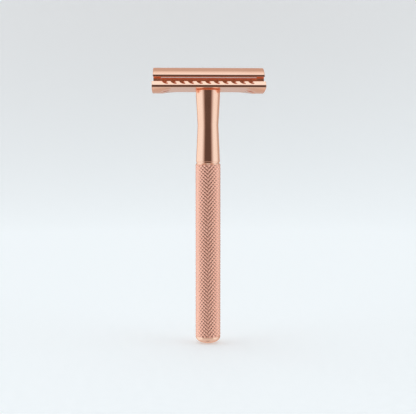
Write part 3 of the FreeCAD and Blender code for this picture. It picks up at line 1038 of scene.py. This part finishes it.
def turned_rose_gold():
    """Polished plate on turned parts, with faint rings left by the lathe."""
    return metal(
        "turned_rose_gold",
        ROSE,
        ROSE_DEEP,
        roughness=0.12,
        grain=(0.05, 0.05, 4.0),
        grain_depth=0.002,
    )


def polished_rose_gold():
    """Polished plate on the head, with faint lines along the cutting edges, and painted orange shade and
    reflected light in its gaps.
    """
    return metal(
        "polished_rose_gold",
        ROSE,
        ROSE_DEEP,
        roughness=0.1,
        grain=(0.05, 2.0, 2.0),
        grain_depth=0.002,
        painted_gap_colour=ROSE_PAINTED_GAP_REFLECTION,
        painted_gap_size=2.5,
        painted_bounce=0.09,
    )


def knurled_rose_gold():
    """The same plate on knurling, duller, painted a deeper rose for bounced light, and with painted shade in
    the grooves.
    """
    return metal(
        "knurled_rose_gold",
        KNURL_ROSE_PAINTED_BOUNCE,
        KNURL_DEEP_PAINTED_BOUNCE,
        roughness=0.18,
        grain=(1.0, 1.0, 1.0),
        grain_depth=0.004,
        painted_gap_colour=ROSE_PAINTED_GAP_REFLECTION,
        painted_gap_size=0.35,
        painted_bounce=0.1,
    )


def blade_steel():
    """Ground blade with lines along its length, with painted copper reflection and shade where it sits in
    the gaps around it.
    """
    return metal(
        "blade_steel",
        STEEL,
        STEEL_DEEP,
        roughness=0.22,
        grain=(0.02, 3.0, 3.0),
        grain_depth=0.002,
        painted_gap_colour=STEEL_PAINTED_GAP_REFLECTION,
        painted_gap_size=1.5,
        painted_bounce=0.12,
    )


def bush_brass():
    """Turned brass."""
    return metal(
        "bush_brass",
        BRASS,
        BRASS_DEEP,
        roughness=0.2,
        grain=(0.05, 0.05, 4.0),
        grain_depth=0.003,
    )


def weight_steel():
    """Turned bare steel."""
    return metal(
        "weight_steel",
        IRON,
        IRON_DEEP,
        roughness=0.3,
        grain=(0.05, 0.05, 3.0),
        grain_depth=0.004,
    )


# ---- Studio ----
CAMERA_DISTANCE = 362.5
CAMERA_HEIGHT = 73.0
CAMERA_AZIMUTH = -2.0
CAMERA_PITCH = -2.856
CAMERA_LENS = 78.06
CAMERA_CLIP = 10.0
PALE = (0.82, 0.83, 0.84, 1)

# Softboxes. A band is (low, high, fade before, fade after) in degrees. Azimuth 0 is in front of the razor,
# and 90 is to the right of the picture. The back band is the same on both sides.
LEFT_BAND = (-140, -70, 20, 47)
RIGHT_BAND = (65, 90, 48, 55)
BACK_BAND = (128, 181, 30, 1)
SIDE_HEIGHT = (-40, 50, 20, 25)
BACK_HEIGHT = (-48, 70, 20, 20)
TOP_HEIGHT = (78, 91, 36, 1)
TOP_BACK_HEIGHT = (70, 91, 40, 1)
LOW_HEIGHT = (-70, -26, 25, 22)
LEFT_STRENGTH = 1.22
RIGHT_STRENGTH = 1.18
BACK_STRENGTH = 0.64
TOP_STRENGTH = 1.3
TOP_BACK_STRENGTH = 1.2
LOW_STRENGTH = 0.82
DARK_FRONT = 0.09
WARM_LIGHT = (1.35, 0.95, 0.8, 1)
PLAIN_LIGHT = (1.0, 1.0, 1.0, 1)
COOL_LIGHT = (0.88, 1.0, 1.05, 1)
WARM_TO_PLAIN = (0.1, 0.6)
PLAIN_TO_COOL = (0.7, 1.2)

FLOOR_RADIUS = 600.0
FLOOR_BEND = 400.0
FLOOR_BEND_STEPS = 32
FLOOR_STEPS = 96
WALL_HEIGHT = 1600.0
FLOOR_TONE = (0.74, 0.75, 0.76, 1)
FLOOR_LIGHT_TONE = (0.78, 0.79, 0.8, 1)
FLOOR_GRAIN_SCALE = 300.0
FLOOR_GRAIN_STRENGTH = 0.1
FLOOR_GRAIN_DEPTH = 0.1
FLOOR_ROUGHNESS = 0.7
FLOOR_GLOW = 0.35


def add_camera():
    """Camera at the photo's angle: a little left of the front, below the head, and pitched slightly down."""
    data = bpy.data.cameras.new("camera")
    data.lens = CAMERA_LENS
    data.clip_start = CAMERA_CLIP * MM
    camera = bpy.data.objects.new("camera", data)
    turn = math.radians(CAMERA_AZIMUTH)
    camera.location = (
        math.sin(turn) * CAMERA_DISTANCE * MM,
        -math.cos(turn) * CAMERA_DISTANCE * MM,
        CAMERA_HEIGHT * MM,
    )
    camera.rotation_euler = (math.radians(90 + CAMERA_PITCH), 0, turn)
    bpy.context.scene.collection.objects.link(camera)
    bpy.context.scene.camera = camera


def soft_band(n, value, low, high, before, after):
    """1 where the value is between low and high, and 0 once it is further out than before or after."""
    rise = n.ramp(value, low - before, low, 0.0, 1.0, smooth=True)
    fall = n.ramp(value, high, high + after, 1.0, 0.0, smooth=True)
    return n.math("MULTIPLY", rise, fall)


def studio_light(n):
    """Brightness of the studio seen in a direction."""
    direction = n.add("ShaderNodeTexCoord").outputs["Generated"]
    axes = n.add("ShaderNodeSeparateXYZ", {"Vector": direction}).outputs
    to_degrees = 180 / math.pi
    backwards = n.math("MULTIPLY", axes["Y"], -1.0)
    azimuth = n.math("MULTIPLY", n.math("ARCTAN2", axes["X"], backwards), to_degrees)
    elevation = n.math("MULTIPLY", n.math("ARCSINE", axes["Z"]), to_degrees)
    side_height = soft_band(n, elevation, *SIDE_HEIGHT)
    behind = soft_band(n, n.math("ABSOLUTE", azimuth), *BACK_BAND)
    patches = [
        (soft_band(n, azimuth, *LEFT_BAND), side_height, LEFT_STRENGTH),
        (soft_band(n, azimuth, *RIGHT_BAND), side_height, RIGHT_STRENGTH),
        (behind, soft_band(n, elevation, *BACK_HEIGHT), BACK_STRENGTH),
        (1.0, soft_band(n, elevation, *TOP_HEIGHT), TOP_STRENGTH),
        (behind, soft_band(n, elevation, *TOP_BACK_HEIGHT), TOP_BACK_STRENGTH),
        (1.0, soft_band(n, elevation, *LOW_HEIGHT), LOW_STRENGTH),
    ]
    total = DARK_FRONT
    for across, up, strength in patches:
        patch = n.math("MULTIPLY", n.math("MULTIPLY", across, up), strength)
        total = n.math("MAXIMUM", total, patch)
    return total


def add_studio():
    """A pale room for the camera, and softboxes that only the object and floor see."""
    world = bpy.data.worlds.new("studio")
    bpy.context.scene.world = world
    world.use_nodes = True
    n = Nodes(world.node_tree)
    brightness = studio_light(n)
    tint = n.mix(n.ramp(brightness, *WARM_TO_PLAIN), WARM_LIGHT, PLAIN_LIGHT)
    tint = n.mix(n.ramp(brightness, *PLAIN_TO_COOL), tint, COOL_LIGHT)
    lit = n.add("ShaderNodeBackground", {"Color": tint, "Strength": brightness})
    plain = n.add("ShaderNodeBackground", {"Color": PALE, "Strength": 1.0})
    seen = n.add("ShaderNodeLightPath").outputs["Is Camera Ray"]
    mixed = n.add("ShaderNodeMixShader", {0: seen, 1: lit.outputs[0], 2: plain.outputs[0]})
    n.add("ShaderNodeOutputWorld", {"Surface": mixed.outputs[0]})
    bpy.context.scene.view_settings.view_transform = "Standard"


def pale_floor_paint():
    """Matt pale paint that glows a little and is clear from below."""
    material = bpy.data.materials.new("pale_floor")
    material.use_nodes = True
    n = Nodes(material.node_tree)
    grain = n.noise(FLOOR_GRAIN_SCALE, detail=5.0)
    tone = n.mix(n.ramp(grain, *GRAIN_RANGE), FLOOR_TONE, FLOOR_LIGHT_TONE)
    relief = {"Strength": FLOOR_GRAIN_STRENGTH, "Distance": FLOOR_GRAIN_DEPTH * MM, "Height": grain}
    bump = n.add("ShaderNodeBump", relief)
    shader = n.add(
        "ShaderNodeBsdfPrincipled",
        {
            "Base Color": tone,
            "Roughness": FLOOR_ROUGHNESS,
            "Emission Color": tone,
            "Emission Strength": FLOOR_GLOW,
            "Normal": bump.outputs["Normal"],
        },
    )
    clear = n.add("ShaderNodeBsdfTransparent")
    under = n.add("ShaderNodeNewGeometry").outputs["Backfacing"]
    mixed = n.add("ShaderNodeMixShader", {0: under, 1: shader.outputs["BSDF"], 2: clear.outputs["BSDF"]})
    n.add("ShaderNodeOutputMaterial", {"Surface": mixed.outputs[0]})
    return material


def add_floor():
    """Round floor that curves up into a wall. Only the camera sees it, so the softboxes reach past it.

    Its faces look up and inwards.
    """
    outline = [(0, 0)]
    outline += outline_arc((FLOOR_RADIUS, FLOOR_BEND), FLOOR_BEND, -90, 0, FLOOR_BEND_STEPS)
    outline.append((FLOOR_RADIUS + FLOOR_BEND, WALL_HEIGHT))
    bm = lathe(outline, FLOOR_STEPS, closed=False)
    bmesh.ops.reverse_faces(bm, faces=bm.faces)
    bm.transform(Matrix.Scale(MM, 4))
    for face in bm.faces:
        face.smooth = True
    mesh = bpy.data.meshes.new("floor")
    bm.to_mesh(mesh)
    bm.free()
    mesh.materials.append(pale_floor_paint())
    floor = bpy.data.objects.new("floor", mesh)
    bpy.context.scene.collection.objects.link(floor)
    floor.visible_glossy = False
    floor.visible_diffuse = False
    floor.visible_shadow = False


TURNED = turned_rose_gold()
POLISHED = polished_rose_gold()

add_piece(neck(), "neck", TURNED)
add_piece(spacer_ring(), "spacer_ring", TURNED)
add_piece(end_cap(), "end_cap", TURNED)
add_piece(core_rod(), "core_rod", weight_steel())
add_piece(grip_sleeve(), "grip_sleeve", knurled_rose_gold(), sharp_angle=50)
add_piece(thread_bush(), "thread_bush", bush_brass())
add_piece(threaded_stud(), "threaded_stud", TURNED, sharp_angle=60)
add_piece(guide_pin(-1), "left_guide_pin", TURNED)
add_piece(guide_pin(1), "right_guide_pin", TURNED)

add_piece(top_cap(), "top_cap", POLISHED)
add_piece(base_plate(), "base_plate", POLISHED, sharp_angle=19)
add_piece(razor_blade(), "razor_blade", blade_steel())

add_camera()
add_studio()
add_floor()
